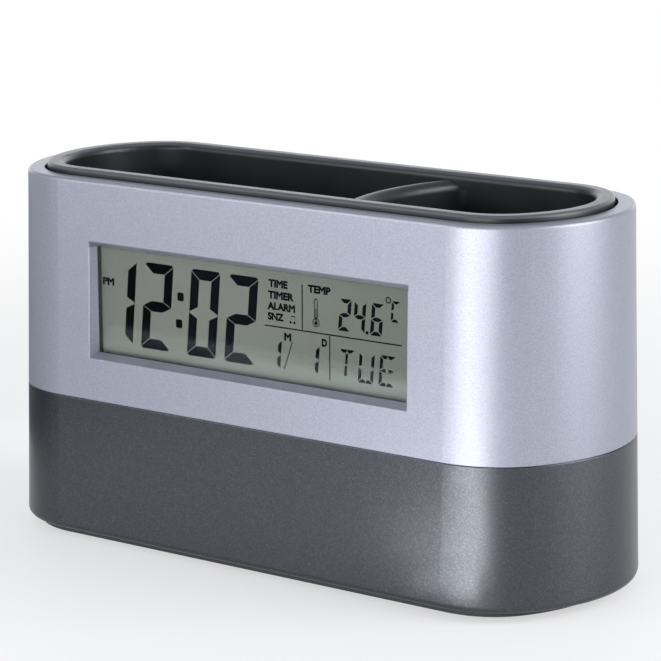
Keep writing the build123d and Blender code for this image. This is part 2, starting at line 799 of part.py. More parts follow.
with BuildPart() as lcd_segments:
    with BuildSketch(plane_at(rear_glass_y)):
        for place, sign in enumerate("12"):
            draw_digit(sign, hour_x + place * digit_spacing)
        for place, sign in enumerate("02"):
            draw_digit(sign, minute_x + place * digit_spacing)
        for sign, x in zip("246", reading_xs):
            draw_sign(bars_of_sign[sign], x, reading_z, reading_width, reading_height, reading_stroke)
        for x in date_xs:
            draw_sign(bars_of_sign["1"], x, date_z, date_width, date_height, date_stroke)
        for letter, x in zip("TUE", day_xs):
            draw_sign(bars_of_letter[letter], x, date_z, day_width, day_height, day_stroke)
        draw_sign(bars_of_sign["C"], unit_x, unit_z, unit_width, unit_height, unit_stroke)
        for up in (-colon_spacing / 2, colon_spacing / 2):
            with Locations((colon_x + up * lean, digit_z + up)):
                RectangleRounded(colon_width, colon_height, colon_radius)
        with Locations((point_x, reading_z - reading_height / 2 + point_radius)):
            Circle(point_radius)
        with Locations((degree_x, degree_z)):
            Circle(degree_radius)
            Circle(degree_radius - rule_width, mode=Mode.SUBTRACT)
        with Locations((upper_rule_x, (upper_rule_top_z + level_rule_z + rule_width) / 2)):
            Rectangle(rule_width, upper_rule_top_z - level_rule_z - rule_width)
        with Locations((lower_rule_x, (lower_rule_bottom_z + level_rule_z - rule_width) / 2)):
            Rectangle(rule_width, level_rule_z - rule_width - lower_rule_bottom_z)
        with Locations(((level_rule_left_x + level_rule_right_x) / 2, level_rule_z)):
            Rectangle(level_rule_right_x - level_rule_left_x, rule_width)
        with Locations(Location((slash_x, date_z), -slash_lean_angle)):
            Rectangle(slash_width, day_height)
    extrude(amount=crystal_gap)
save(lcd_segments, "lcd_segments")

# Holder: plate behind the display, with the rib that presses the stack and a notch for the ribbon
press_width = window_width + 2 * press_rib_lap
press_height = window_height + 2 * press_rib_lap
screw_clear_diameter = 2.0

with BuildPart() as lcd_holder:
    with BuildSketch(plane_at(holder_back_y)):
        with Locations((0, window_z)):
            RectangleRounded(holder_width, holder_height, holder_corner_radius)
            with GridLocations(2 * holder_screw_x, 2 * holder_screw_z, 2, 2):
                Circle(screw_clear_diameter / 2, mode=Mode.SUBTRACT)
        with Locations((0, window_z - holder_height / 2)):
            Rectangle(
                lcd_ribbon_width + press_rib_width,
                ribbon_notch_height,
                align=(Align.CENTER, Align.MIN),
                mode=Mode.SUBTRACT,
            )
    extrude(amount=holder_thickness)
    with BuildSketch(plane_at(frame_back_y)):
        with Locations((0, window_z)):
            Rectangle(press_width, press_height)
            Rectangle(
                press_width - 2 * press_rib_width,
                press_height - 2 * press_rib_width,
                mode=Mode.SUBTRACT,
            )
    extrude(amount=press_rib_height)
save(lcd_holder, "lcd_holder")

# Display ribbon: from the contact ledge, back through the notch and down to the main board
ribbon_bend_radius = 0.5
ribbon_slope_radius = 2.0
ribbon_drop_setback = 7.75
ribbon_shift = 1.9
ribbon_overlap = 2.8
ribbon_drop_y = body_depth / 2 - ribbon_drop_setback
ribbon_shift_z = seam_z + ribbon_shift
ribbon_land_z = seam_z - ribbon_shift
ribbon_end_z = board_top_z - ribbon_overlap
ribbon_start_y = segment_y - lcd_ribbon_thickness / 2
ribbon_exit_z = glass_bottom_z + lcd_ribbon_thickness
ribbon_board_y = board_back_y - lcd_ribbon_thickness / 2

with BuildPart() as lcd_ribbon:
    with BuildSketch(Plane.YZ.offset(-lcd_ribbon_width / 2)):
        with BuildLine() as ribbon_path:
            FilletPolyline(
                (-ribbon_start_y, glass_bottom_z + contact_ledge - loose_gap),
                (-ribbon_start_y, ribbon_exit_z),
                (-ribbon_drop_y, ribbon_exit_z),
                (-ribbon_drop_y, ribbon_shift_z),
                (-ribbon_board_y, ribbon_land_z),
                (-ribbon_board_y, ribbon_end_z),
                radius=[
                    ribbon_bend_radius,
                    ribbon_bend_radius,
                    ribbon_slope_radius,
                    ribbon_slope_radius,
                ],
            )
        trace(line_width=lcd_ribbon_thickness)
    extrude(amount=lcd_ribbon_width)
save(lcd_ribbon, "lcd_ribbon")

# Main board
with BuildPart() as main_board:
    with BuildSketch(plane_at(board_back_y)):
        with Locations((0, board_bottom_z + board_height / 2)):
            RectangleRounded(board_width, board_height, board_corner_radius)
        with Locations(*board_boss_places):
            Circle(screw_clear_diameter / 2, mode=Mode.SUBTRACT)
    extrude(amount=board_thickness)
save(main_board, "main_board")

# Clock chip under its blob of resin
chip_rise = 11.5
chip_z = board_bottom_z + chip_rise
chip_radius = 6.0
chip_height = 1.3
with BuildPart() as clock_chip:
    with BuildSketch(Plane.XY.offset(chip_z)):
        with BuildLine():
            ThreePointArc(
                (-chip_radius, -board_back_y),
                (0, chip_height - board_back_y),
                (chip_radius, -board_back_y),
            )
            Line((chip_radius, -board_back_y), (-chip_radius, -board_back_y))
        make_face()
        split(bisect_by=Plane.YZ)
    revolve(axis=Axis((0, 0, chip_z), (0, 1, 0)))
save(clock_chip, "clock_chip")

# Crystal can, lying on the board
crystal_diameter = 2.0
crystal_length = 6.0
crystal_x = 13.0
crystal_rise = 17.5
crystal_z = board_bottom_z + crystal_rise
with BuildPart() as quartz_crystal:
    with BuildSketch(Plane.YZ.offset(crystal_x)):
        with Locations((crystal_diameter / 2 - board_back_y, crystal_z)):
            Circle(crystal_diameter / 2)
    extrude(amount=crystal_length)
save(quartz_crystal, "quartz_crystal")

# Small chip parts, soldered flat on the board
chip_part_length = 2.0
chip_part_width = 1.25
capacitor_rise = 0.8
resistor_rise = 0.5
capacitor_x = 13.5
resistor_x = -12.0
chip_part_level_rise = 13.5
chip_part_z = board_bottom_z + chip_part_level_rise
chip_part_spacing = 3.5
with BuildPart() as timing_capacitors:
    with BuildSketch(plane_at(board_back_y - capacitor_rise)):
        with Locations((capacitor_x, chip_part_z)):
            with GridLocations(chip_part_spacing, chip_part_spacing, 2, 1):
                Rectangle(chip_part_width, chip_part_length)
    extrude(amount=capacitor_rise)
save(timing_capacitors, "timing_capacitors")

with BuildPart() as chip_resistors:
    with BuildSketch(plane_at(board_back_y - resistor_rise)):
        with Locations((resistor_x, chip_part_z)):
            with GridLocations(chip_part_spacing, chip_part_spacing, 2, 2):
                Rectangle(chip_part_length, chip_part_width)
    extrude(amount=resistor_rise)
save(chip_resistors, "chip_resistors")

# Filter capacitor, a small can lying on the board
filter_diameter = 4.0
filter_length = 5.5
filter_x = -22.0
filter_rise = 1.5
filter_bottom_z = board_bottom_z + filter_rise
filter_edge_radius = 0.4
with BuildPart() as filter_capacitor:
    with BuildSketch(Plane.XY.offset(filter_bottom_z)):
        with Locations((filter_x, filter_diameter / 2 - board_back_y)):
            Circle(filter_diameter / 2)
    extrude(amount=filter_length)
    fillet(filter_capacitor.faces().sort_by(Axis.Z)[-1].edges(), filter_edge_radius)
save(filter_capacitor, "filter_capacitor")

# Key board, on its two bosses behind the rear wall
with BuildPart() as key_board:
    with BuildSketch(plane_at(-key_board_back_y)):
        with Locations(((key_board_left_x + key_board_right_x) / 2, key_z)):
            Rectangle(key_board_right_x - key_board_left_x, key_board_height)
        with Locations((-key_screw_x, key_z), (key_screw_x, key_z)):
            Circle(screw_clear_diameter / 2, mode=Mode.SUBTRACT)
    extrude(amount=board_thickness)
save(key_board, "key_board")

# Temperature sensor: a bead on two legs, behind the air slots
bead_diameter = 2.4
bead_stand = 2.2
leg_diameter = 0.5
leg_spacing = 1.2
with BuildPart() as thermistor:
    with Locations((vent_x, key_board_back_y + bead_stand, key_z)):
        Sphere(bead_diameter / 2)
    with BuildSketch(rear_plane_at(key_board_back_y)):
        with Locations((-vent_x, key_z)):
            with GridLocations(leg_spacing, leg_spacing, 2, 1):
                Circle(leg_diameter / 2)
    extrude(amount=bead_stand)
save(thermistor, "thermistor")

# Switches on the key board, their plungers, and the buttons in the rear wall
bore_depth = plunger_insertion + button_travel + slide_gap
for name, x in zip(button_names, reversed(button_xs)):
    with BuildPart() as switch:
        with BuildSketch(rear_plane_at(key_board_back_y)):
            with Locations((-x, key_z)):
                RectangleRounded(switch_width, switch_width, switch_edge)
        extrude(amount=switch_depth)
        with BuildSketch(rear_plane_at(switch_face_y - bore_depth)):
            with Locations((-x, key_z)):
                Circle(plunger_diameter / 2 + plunger_play)
        extrude(amount=bore_depth, mode=Mode.SUBTRACT)
    save(switch, f"{name}_switch")

    with BuildPart() as plunger:
        with BuildSketch(rear_plane_at(switch_face_y - plunger_insertion)):
            with Locations((-x, key_z)):
                Circle(plunger_diameter / 2)
        extrude(amount=button_flange_y - switch_face_y + plunger_insertion)
    save(plunger, f"{name}_plunger")

    with BuildPart() as button:
        with BuildSketch(rear_plane_at(button_flange_y)):
            with Locations((-x, key_z)):
                SlotOverall(button_length + 2 * button_flange_lap, button_height + 2 * button_flange_lap)
        extrude(amount=button_flange_thickness)
        with BuildSketch(rear_plane_at(button_flange_y)):
            with Locations((-x, key_z)):
                SlotOverall(button_length, button_height)
        extrude(amount=button_front_y - button_flange_y)
        fillet(button.faces().sort_by(Axis.Y)[-1].edges(), button_edge_radius)
    save(button, f"{name}_button")

# Buzzer: a brass disc on the ring's ledge, with a ceramic disc on it
buzzer_z = cover_top_z + ledge_height
ceramic_top_z = buzzer_z + buzzer_thickness + ceramic_thickness
with BuildPart() as buzzer_disc:
    with BuildSketch(Plane.XY.offset(buzzer_z)):
        with Locations((buzzer_x, 0)):
            Circle(buzzer_diameter / 2)
    extrude(amount=buzzer_thickness)
save(buzzer_disc, "buzzer_disc")

with BuildPart() as buzzer_ceramic:
    with BuildSketch(Plane.XY.offset(buzzer_z + buzzer_thickness)):
        with Locations((buzzer_x, 0)):
            Circle(ceramic_diameter / 2)
    extrude(amount=ceramic_thickness)
save(buzzer_ceramic, "buzzer_ceramic")

# Two cells, side by side, the front one with its positive end to the right
cell_z = door_top_z + cell_floor_gap + cell_diameter / 2
nub_tip_x = contact_face_x - dimple_height
cell_foot_x = nub_tip_x - cell_length
for name, turn in (("battery_cell_front", 1), ("battery_cell_rear", -1)):
    with BuildPart() as cell:
        with BuildSketch(Plane.YZ.offset(turn * cell_foot_x)):
            with Locations((-turn * cell_spacing / 2, cell_z)):
                Circle(cell_diameter / 2)
        extrude(amount=turn * (cell_length - nub_length))
        fillet(cell.edges().filter_by(GeomType.CIRCLE), cell_edge_radius)
        with BuildSketch(Plane.YZ.offset(turn * (nub_tip_x - nub_length))):
            with Locations((-turn * cell_spacing / 2, cell_z)):
                Circle(nub_diameter / 2)
        extrude(amount=turn * nub_length)
    save(cell, name)

# Battery contacts: sprung strips and dimpled plates against the ends of the box
contact_bottom_z = door_top_z + contact_bottom_gap
contact_top_z = box_roof_z - contact_top_gap
contact_width = cell_diameter - 2 * contact_side_inset
contact_height = contact_top_z - contact_bottom_z
leaf_face_x = -cell_foot_x + leaf_thickness / 2
leaf_flat = 2.4
leaf_foot_gap = 0.6
contact_plans = (
    ("positive_contact", 1, (-1,), (-1,), ()),
    ("spring_contact", 1, (1,), (), (1,)),
    ("bridge_contact", -1, (-1, 1), (1,), (-1,)),
)
for name, end, rows, dimple_rows, leaf_rows in contact_plans:
    with BuildPart() as contact:
        with BuildSketch(Plane.YZ.offset(end * contact_face_x)):
            with Locations((sum(rows) * cell_spacing / (2 * len(rows)), contact_bottom_z)):
                Rectangle(
                    contact_width + cell_spacing * (len(rows) - 1),
                    contact_height,
                    align=(Align.CENTER, Align.MIN),
                )
            if end > 0:
                with Locations((rows[0] * cell_spacing / 2, contact_top_z)):
                    Rectangle(tail_width, tail_top_z - contact_top_z, align=(Align.CENTER, Align.MIN))
        extrude(amount=end * contact_thickness)
        for row in dimple_rows:
            with BuildSketch(Plane.YZ.offset(end * contact_face_x)):
                with Locations((row * cell_spacing / 2, cell_z)):
                    Circle(dimple_diameter / 2)
            extrude(amount=-end * dimple_height)
        for row in leaf_rows:
            with BuildSketch(Plane.XZ.offset(-row * cell_spacing / 2 - leaf_width / 2)):
                with BuildLine() as leaf_path:
                    FilletPolyline(
                        (end * (contact_face_x + contact_thickness / 2), contact_top_z - leaf_thickness),
                        (end * leaf_face_x, cell_z + leaf_flat / 2),
                        (end * leaf_face_x, cell_z - leaf_flat / 2),
                        (end * (contact_face_x - leaf_foot_gap), contact_bottom_z + leaf_foot_gap),
                        radius=leaf_bend_radius,
                    )
                trace(line_width=leaf_thickness)
            extrude(amount=leaf_width)
    save(contact, name)

# Leads inside the casing, each one tube along straight runs and arcs
tail_solder_z = tail_top_z - battery_lead_diameter / 2
lead_tables = (
    (
        "battery_lead_red",
        battery_lead_diameter,
        (
            (contact_face_x + contact_thickness / 2, -cell_spacing / 2 - tail_width / 2, tail_solder_z),
            (25.8, -13.5, tail_solder_z),
            (22.0, -19.0, 12.5),
            (22.0, -board_back_y, 12.5),
        ),
    ),
    (
        "battery_lead_black",
        battery_lead_diameter,
        (
            (box_length / 2, cell_spacing / 2, tail_solder_z),
            (31.5, cell_spacing / 2, tail_solder_z),
            (33.5, -6.0, 14.0),
            (28.5, -17.0, 10.5),
            (28.5, -board_back_y, 10.5),
        ),
    ),
    (
        "buzzer_lead_red",
        buzzer_lead_diameter,
        (
            (buzzer_x, 0, ceramic_top_z),
            (buzzer_x, 0, 10.5),
            (55.0, -15.5, 14.5),
            (44.0, -19.5, 15.8),
            (33.0, -18.5, 15.5),
            (33.0, -board_back_y, 15.5),
        ),
    ),
    (
        "buzzer_lead_black",
        buzzer_lead_diameter,
        (
            (buzzer_x, -8.5, buzzer_z + buzzer_thickness),
            (buzzer_x, -8.5, 8.5),
            (57.0, -18.0, 11.0),
            (46.0, -21.0, 12.5),
            (36.3, -20.0, 14.2),
            (36.3, -board_back_y, 14.2),
        ),
    ),
)


def lead_radii(points):
    """As large an arc at each corner as the two runs beside it allow."""
    radii = []
    for before, corner, after in zip(points, points[1:], points[2:]):
        run_in = Vector(*corner) - Vector(*before)
        run_out = Vector(*after) - Vector(*corner)
        half_turn = radians(run_in.get_angle(run_out) / 2)
        radii.append(arc_share * min(run_in.length, run_out.length) / tan(half_turn))
    return radii


for name, diameter, points in lead_tables:
    radii = lead_radii(points)
    print(name, "radii", [round(radius, 1) for radius in radii])
    with BuildPart() as lead:
        with BuildLine() as lead_path:
            FilletPolyline(*points, radius=radii)
        with BuildSketch(Plane(lead_path.line @ 0, z_dir=lead_path.line % 0)):
            Circle(diameter / 2)
        sweep()
    save(lead, name)

# Key ribbon: six cores side by side, from the key board under the cup to the main board
with BuildPart() as key_ribbon:
    with BuildSketch(Plane.YZ.offset(key_ribbon_x - key_ribbon_width / 2)):
        with BuildLine() as key_path:
            FilletPolyline(
                (key_board_front_y, 15.3),
                (16.0, 15.3),
                (8.0, 9.5),
                (-9.0, 9.0),
                (-17.0, 14.0),
                (-board_back_y, 14.0),
                radius=key_ribbon_bend_radius,
            )
        trace(line_width=key_ribbon_thickness)
    extrude(amount=key_ribbon_width)
save(key_ribbon, "key_ribbon")

# Screws, one node for each kind of place
with BuildPart() as base_screws:
    head_top_z = base_bottom_z + counterbore_depth
    with BuildSketch(Plane.XY.offset(head_top_z - base_head_height)):
        with Locations(*boss_places):
            Circle(base_head_diameter / 2)
    extrude(amount=base_head_height)
    with BuildSketch(Plane.XY.offset(head_top_z)):
        with Locations(*boss_places):
            Circle(base_screw_diameter / 2)
    extrude(amount=base_screw_length)
    with BuildSketch(Plane.XY.offset(head_top_z - base_head_height)):
        with Locations(*boss_places):
            Rectangle(base_head_diameter / 2, cross_width)
            Rectangle(cross_width, base_head_diameter / 2)
    extrude(amount=cross_depth, mode=Mode.SUBTRACT)
save(base_screws, "base_screws")

small_screw_sets = (
    ("board_screws", -board_back_y, -1, board_boss_places),
    ("key_board_screws", key_board_front_y, 1, [(-key_screw_x, key_z), (key_screw_x, key_z)]),
    (
        "holder_screws",
        -holder_back_y,
        -1,
        [
            (x, window_z + z)
            for x in (-holder_screw_x, holder_screw_x)
            for z in (-holder_screw_z, holder_screw_z)
        ],
    ),
)
for name, seat_y, inward, places in small_screw_sets:
    with BuildPart() as screws:
        with BuildSketch(plane_at(-seat_y)):
            with Locations(*places):
                Circle(small_head_diameter / 2)
        extrude(amount=inward * small_head_height)
        with BuildSketch(plane_at(-seat_y)):
            with Locations(*places):
                Circle(small_screw_diameter / 2)
        extrude(amount=-inward * small_screw_length)
        with BuildSketch(plane_at(-seat_y + inward * small_head_height)):
            with Locations(*places):
                Rectangle(small_head_diameter / 2, cross_width)
                Rectangle(cross_width, small_head_diameter / 2)
        extrude(amount=-inward * cross_depth, mode=Mode.SUBTRACT)
    save(screws, name)
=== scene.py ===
from math import cos, pi, radians, sin

import bmesh
import bpy
from mathutils import Matrix, Vector


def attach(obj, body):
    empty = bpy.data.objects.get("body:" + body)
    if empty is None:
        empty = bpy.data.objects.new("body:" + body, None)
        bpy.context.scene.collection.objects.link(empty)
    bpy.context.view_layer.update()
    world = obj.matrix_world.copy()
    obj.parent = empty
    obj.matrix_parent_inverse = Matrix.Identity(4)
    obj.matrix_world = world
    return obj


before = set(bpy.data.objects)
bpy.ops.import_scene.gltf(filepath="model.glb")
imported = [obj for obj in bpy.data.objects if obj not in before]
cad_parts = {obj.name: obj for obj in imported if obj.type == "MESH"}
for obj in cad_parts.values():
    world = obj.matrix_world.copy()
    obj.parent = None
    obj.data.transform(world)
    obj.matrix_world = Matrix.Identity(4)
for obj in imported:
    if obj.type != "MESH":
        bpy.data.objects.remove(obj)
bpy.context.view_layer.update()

# Pen holder clock. Lengths are written in millimetres and turned to metres by mm.
# The display faces -Y, and the object stands on the floor at z = 0.
mm = 0.001
scene = bpy.context.scene


# Camera: a long lens, to the right of the display and a little above it, at the
# photograph's viewing angle.
camera_azimuth = radians(36.36)
camera_elevation = radians(12.2385)
camera_roll = radians(-0.2519)
camera_distance = 680.244 * mm
camera_aim = Vector((2.647, 0.0, 52.443)) * mm

camera = bpy.data.objects.new("camera", bpy.data.cameras.new("camera"))
camera.data.sensor_width = 36.0
camera.data.lens = 158.54
camera.data.clip_start = 0.05
camera.data.clip_end = 20.0
camera_back = Vector(
    (
        sin(camera_azimuth) * cos(camera_elevation),
        -cos(camera_azimuth) * cos(camera_elevation),
        sin(camera_elevation),
    )
)
level_right = Vector((cos(camera_azimuth), sin(camera_azimuth), 0.0))
level_up = camera_back.cross(level_right)
camera_right = cos(camera_roll) * level_right + sin(camera_roll) * level_up
camera_up = cos(camera_roll) * level_up - sin(camera_roll) * level_right
camera.matrix_world = Matrix.Translation(camera_aim + camera_back * camera_distance) @ Matrix(
    (camera_right, camera_up, camera_back)
).transposed().to_4x4()
scene.collection.objects.link(camera)
scene.camera = camera
scene.view_settings.view_transform = "Standard"


# Floor: a wide plain pale table top. The shader sockets of the whole script are made
# here first, because the floor needs them.
class Shade:
    """A shader socket. Sums, products and powers of shades add the Math nodes they need."""

    def __init__(self, tree, socket=None):
        self.tree, self.socket = tree, socket

    def node(self, kind, values=None, out=0, **settings):
        """Any node of the same tree: first its settings, then its sockets' values or links."""
        made = self.tree.nodes.new("ShaderNode" + kind)
        for setting, value in settings.items():
            setattr(made, setting, value)
        for socket, value in (values or {}).items():
            if isinstance(value, Shade):
                self.tree.links.new(value.socket, made.inputs[socket])
            else:
                made.inputs[socket].default_value = value
        return Shade(self.tree, made.outputs[out])

    def math(self, operation, *values):
        return self.node("Math", dict(enumerate(values)), operation=operation)

    def __add__(self, other):
        return self.math("ADD", self, other)

    def __radd__(self, other):
        return self.math("ADD", other, self)

    def __sub__(self, other):
        return self.math("SUBTRACT", self, other)

    def __rsub__(self, other):
        return self.math("SUBTRACT", other, self)

    def __mul__(self, other):
        return self.math("MULTIPLY", self, other)

    def __rmul__(self, other):
        return self.math("MULTIPLY", other, self)

    def __pow__(self, other):
        return self.math("POWER", self, other)

    def __abs__(self):
        return self.math("ABSOLUTE", self)


def new_finish(name):
    """An empty material, as a shade that its nodes start from."""
    finish = bpy.data.materials.new(name)
    finish.use_nodes = True
    finish.node_tree.nodes.clear()
    return finish, Shade(finish.node_tree)


def close_finish(finish, surface):
    """The last node of a material: its surface."""
    last = finish.node_tree.nodes.new("ShaderNodeOutputMaterial")
    finish.node_tree.links.new(surface.socket, last.inputs["Surface"])
    return finish


def colour(code):
    """A colour as written on a screen, such as 7b8078, in the linear values that shaders take."""
    shares = [int(code[place : place + 2], 16) / 255 for place in (0, 2, 4)]
    linear = [
        ((share + 0.055) / 1.055) ** 2.4 if share > 0.04045 else share / 12.92 for share in shares
    ]
    return (*linear, 1.0)


def mix(factor, first, second):
    """Two colours mixed by a factor."""
    return factor.node("Mix", {0: factor, 6: first, 7: second}, out=2, data_type="RGBA")


def noise(place, size, detail=2.0, out=0):
    """Soft noise with features of a size in millimetres."""
    values = {"Vector": place, "Scale": 1 / (size * mm), "Detail": detail}
    return place.node("TexNoise", values, out=out)


def step(value, low, high):
    """A smooth step from 0 at low to 1 at high."""
    return value.node(
        "MapRange",
        {"Value": value, "From Min": low, "From Max": high},
        interpolation_type="SMOOTHSTEP",
    )


def new_piece(name, mesh, finish):
    """A finished piece in the scene, with its place in its mesh."""
    piece = bpy.data.objects.new(name, mesh)
    mesh.materials.append(finish)
    scene.collection.objects.link(piece)
    return piece


def mesh_of(shape, name):
    """Turns a bmesh into a mesh."""
    mesh = bpy.data.meshes.new(name)
    shape.to_mesh(mesh)
    shape.free()
    return mesh


floor_reach = 3000.0
floor_drop = 0.02
glow_near_object = 0.55
floor_finish, start = new_finish("floor_finish")
floor_place = start.node("TexCoord", out="Object")
from_object = floor_place.node("VectorMath", {0: floor_place}, out="Value", operation="LENGTH")
glow = glow_near_object + (1 - glow_near_object) * step(from_object, 120 * mm, 500 * mm)
floor_cloud = noise(floor_place, 400.0)
seen_straight = start.node("LightPath", out="Is Camera Ray")
seen_through = start.node("LightPath", out="Is Transmission Ray")
mirrored = start.node("LightPath", out="Is Glossy Ray") * 0.5
floor_surface = start.node(
    "MixShader",
    {
        0: (seen_straight + seen_through + mirrored) * glow,
        1: start.node(
            "BsdfPrincipled",
            {"Base Color": mix(floor_cloud, colour("f2f2f3"), colour("eeeeef")), "Roughness": 0.6},
        ),
        2: start.node("Emission", {"Color": colour("ffffff"), "Strength": 1.0}),
    },
)
close_finish(floor_finish, floor_surface)
floor_shape = bmesh.new()
bmesh.ops.create_grid(floor_shape, x_segments=1, y_segments=1, size=floor_reach * mm)
bmesh.ops.translate(floor_shape, verts=floor_shape.verts, vec=(0.0, 0.0, -floor_drop * mm))
floor = new_piece("floor", mesh_of(floor_shape, "floor"), floor_finish)


# Light: an even pale surround, a tall panel for the face, a wide one for the right front
# corner, one beside the right end and one behind. Panels on the table carry the corner's
# light down the lower housing, and two cards stand for the dark that the surfaces mirror.
world = bpy.data.worlds.new("studio")
world.use_nodes = True
world.node_tree.nodes["Background"].inputs["Color"].default_value = colour("e6eaf2")
world.node_tree.nodes["Background"].inputs["Strength"].default_value = 0.53
scene.world = world


def add_panel(name, place, aim, width, height, radiance):
    """A soft white light panel in millimetres, aimed at a point, with its brightness as seen."""
    lamp = bpy.data.lights.new(name, "AREA")
    lamp.shape = "RECTANGLE"
    lamp.size, lamp.size_y = width * mm, height * mm
    lamp.energy = radiance * pi * lamp.size * lamp.size_y
    panel = bpy.data.objects.new(name, lamp)
    spot, target = Vector(place) * mm, Vector(aim) * mm
    turn = (spot - target).to_track_quat("Z", "Y").to_matrix().to_4x4()
    panel.matrix_world = Matrix.Translation(spot) @ turn
    panel.visible_camera = False
    scene.collection.objects.link(panel)
    return panel


corner_middle_x = 49.0
low_panel_z = 2.0


def add_low_panel(name, azimuth, spread, near, far, radiance):
    """A panel lying on the table in front of the right end, from a near to a far distance."""
    middle = (near + far) / 2
    width = 2 * middle * sin(radians(spread))
    turn = radians(azimuth)
    spot = (corner_middle_x + middle * sin(turn), -middle * cos(turn), low_panel_z)
    panel = add_panel(name, spot, (0, 0, 0), width, far - near, radiance)
    face_up = Matrix.Rotation(turn, 4, "Z") @ Matrix.Rotation(pi, 4, "X")
    panel.matrix_world = Matrix.Translation(Vector(spot) * mm) @ face_up


add_panel("face_panel", (-313, -464, 260), (0, 0, 50), 150, 520, 3.6)
add_panel("corner_panel", (85, -470, 90), (0, 0, 50), 430, 160, 6.8)
add_panel("end_panel", (568, 194, 260), (0, 0, 50), 370, 500, 5.7)
add_panel("back_panel", (-520, 700, 230), (0, 0, 80), 1500, 420, 1.2)
add_low_panel("low_panel_near", -7, 11, 71, 201, 3.2)
add_low_panel("low_panel_far", -3, 12, 201, 451, 3.6)
add_low_panel("low_panel_right", 10, 11, 71, 201, 5.4)
add_low_panel("low_panel_foot", -3, 9, 45, 71, 3.2)
add_low_panel("low_panel_foot_right", 11, 9, 45, 71, 4.6)

card_z = 1.0


def add_card(name, x, y, width, depth, shade):
    """A matt card lying on the table, in millimetres, that only reflections show."""
    shape = bmesh.new()
    bmesh.ops.create_grid(shape, x_segments=1, y_segments=1, size=0.5)
    bmesh.ops.scale(shape, verts=shape.verts, vec=(width * mm, depth * mm, 1.0))
    bmesh.ops.translate(shape, verts=shape.verts, vec=(x * mm, y * mm, card_z * mm))
    finish, start = new_finish(name)
    close_finish(finish, start.node("BsdfDiffuse", {"Color": colour(shade)}))
    card = new_piece(name, mesh_of(shape, name), finish)
    card.visible_camera = card.visible_diffuse = card.visible_shadow = False
    card.visible_transmission = False


table_edge_y = -210.0
dark_depth = 1400.0
add_card("dark_floor", -300, table_edge_y - dark_depth / 2, 1600, dark_depth, "0c0d0f")
add_card("left_card", -430, 95, 570, 590, "8f9195")


# Upper housing: a moulded shell, sprayed satin silver with aluminium flake and a faint
# orange peel. The rim is rubbed brighter. A painted highlight lightens the window's side and
# foot slopes, and a painted shade darkens the slope over the display.
def dress(finish, *names):
    """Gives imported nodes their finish."""
    for name in names:
        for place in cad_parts[name].material_slots:
            place.material = finish


def rounded_normal(place, radius):
    """The surface's normal with its sharp edges softened over a radius in millimetres."""
    return place.node("Bevel", {"Radius": radius * mm}, samples=4)


def flake(place, normal, size, spread):
    """Flake of a size in the paint: its shade, and the normal tipped by up to a spread."""
    cell = place.node("TexVoronoi", {"Vector": place, "Scale": 1 / (size * mm)}, out="Color")
    glint = cell.node("SeparateColor", {0: cell})
    spreads = {0: cell, 1: (spread,) * 3, 2: normal}
    tipped = cell.node("VectorMath", spreads, operation="MULTIPLY_ADD")
    centred = cell.node("VectorMath", {0: tipped, 1: (spread / 2,) * 3}, operation="SUBTRACT")
    return glint, cell.node("VectorMath", {0: centred}, operation="NORMALIZE")


silver_finish, start = new_finish("silver_paint")
place = start.node("TexCoord", out="Object")
height = place.node("SeparateXYZ", {0: place}, out="Z")
edge_normal = rounded_normal(place, 0.4)
peel = noise(place, 1.6, 3.0)
film_normal = place.node(
    "Bump", {"Strength": 0.03, "Distance": 0.05 * mm, "Height": peel, "Normal": edge_normal}
)
glint, flake_normal = flake(place, film_normal, 0.16, 0.035)
wear_and_sheen = step(height, 86.4 * mm, 87.4 * mm)
across = place.node("SeparateXYZ", {0: place}, out="X")
depth = place.node("SeparateXYZ", {0: place}, out="Y")
slopes_side, slopes_foot, slopes_top = 45.5, 45.2, 73.1
top_slope_foot = 71.5
in_width = step(abs(across), (slopes_side + 0.1) * mm, slopes_side * mm)
in_front = step(depth, -24 * mm, -26 * mm)
in_window = in_width * in_front * step(height, slopes_foot * mm, (slopes_foot + 0.1) * mm)
painted_slope_highlight = in_window * step(height, (top_slope_foot + 0.5) * mm, top_slope_foot * mm)
over_display = step(height, top_slope_foot * mm, (top_slope_foot + 0.2) * mm)
painted_top_slope_shade = in_window * over_display * step(height, (slopes_top + 0.1) * mm, slopes_top * mm)
silver_base = mix(glint, colour("868a96"), colour("999ca8"))
# The rim is rubbed brighter, and a painted highlight lightens the side and foot slopes.
silver_worn_and_lit = mix(wear_and_sheen * 0.15 + painted_slope_highlight * 0.2, silver_base, colour("b4b8c2"))
# A painted shade darkens the slope over the display.
silver_surface = place.node(
    "BsdfPrincipled",
    {
        "Base Color": mix(painted_top_slope_shade * 0.7, silver_worn_and_lit, colour("5d6069")),
        "Metallic": 0.5,
        "Roughness": 0.34 + 0.04 * noise(place, 6.0),
        "Normal": flake_normal,
    },
)
dress(close_finish(silver_finish, silver_surface), "upper_housing")


# Lower housing: the same moulding, sprayed dark graphite. Its flake is coarser and shows
# as single glints against the dark ground.
graphite_finish, start = new_finish("graphite_paint")
place = start.node("TexCoord", out="Object")
edge_normal = rounded_normal(place, 0.2)
peel = noise(place, 1.4, 3.0)
film_normal = place.node(
    "Bump", {"Strength": 0.025, "Distance": 0.05 * mm, "Height": peel, "Normal": edge_normal}
)
glint, flake_normal = flake(place, film_normal, 0.17, 0.045)
graphite_base = mix(glint**3, colour("4d4f53"), colour("62646a"))
graphite_surface = place.node(
    "BsdfPrincipled",
    {
        "Base Color": graphite_base,
        "Metallic": 1.0,
        "Roughness": 0.3 + 0.04 * noise(place, 6.0),
        "Normal": flake_normal,
    },
)
dress(close_finish(graphite_finish, graphite_surface), "lower_housing")
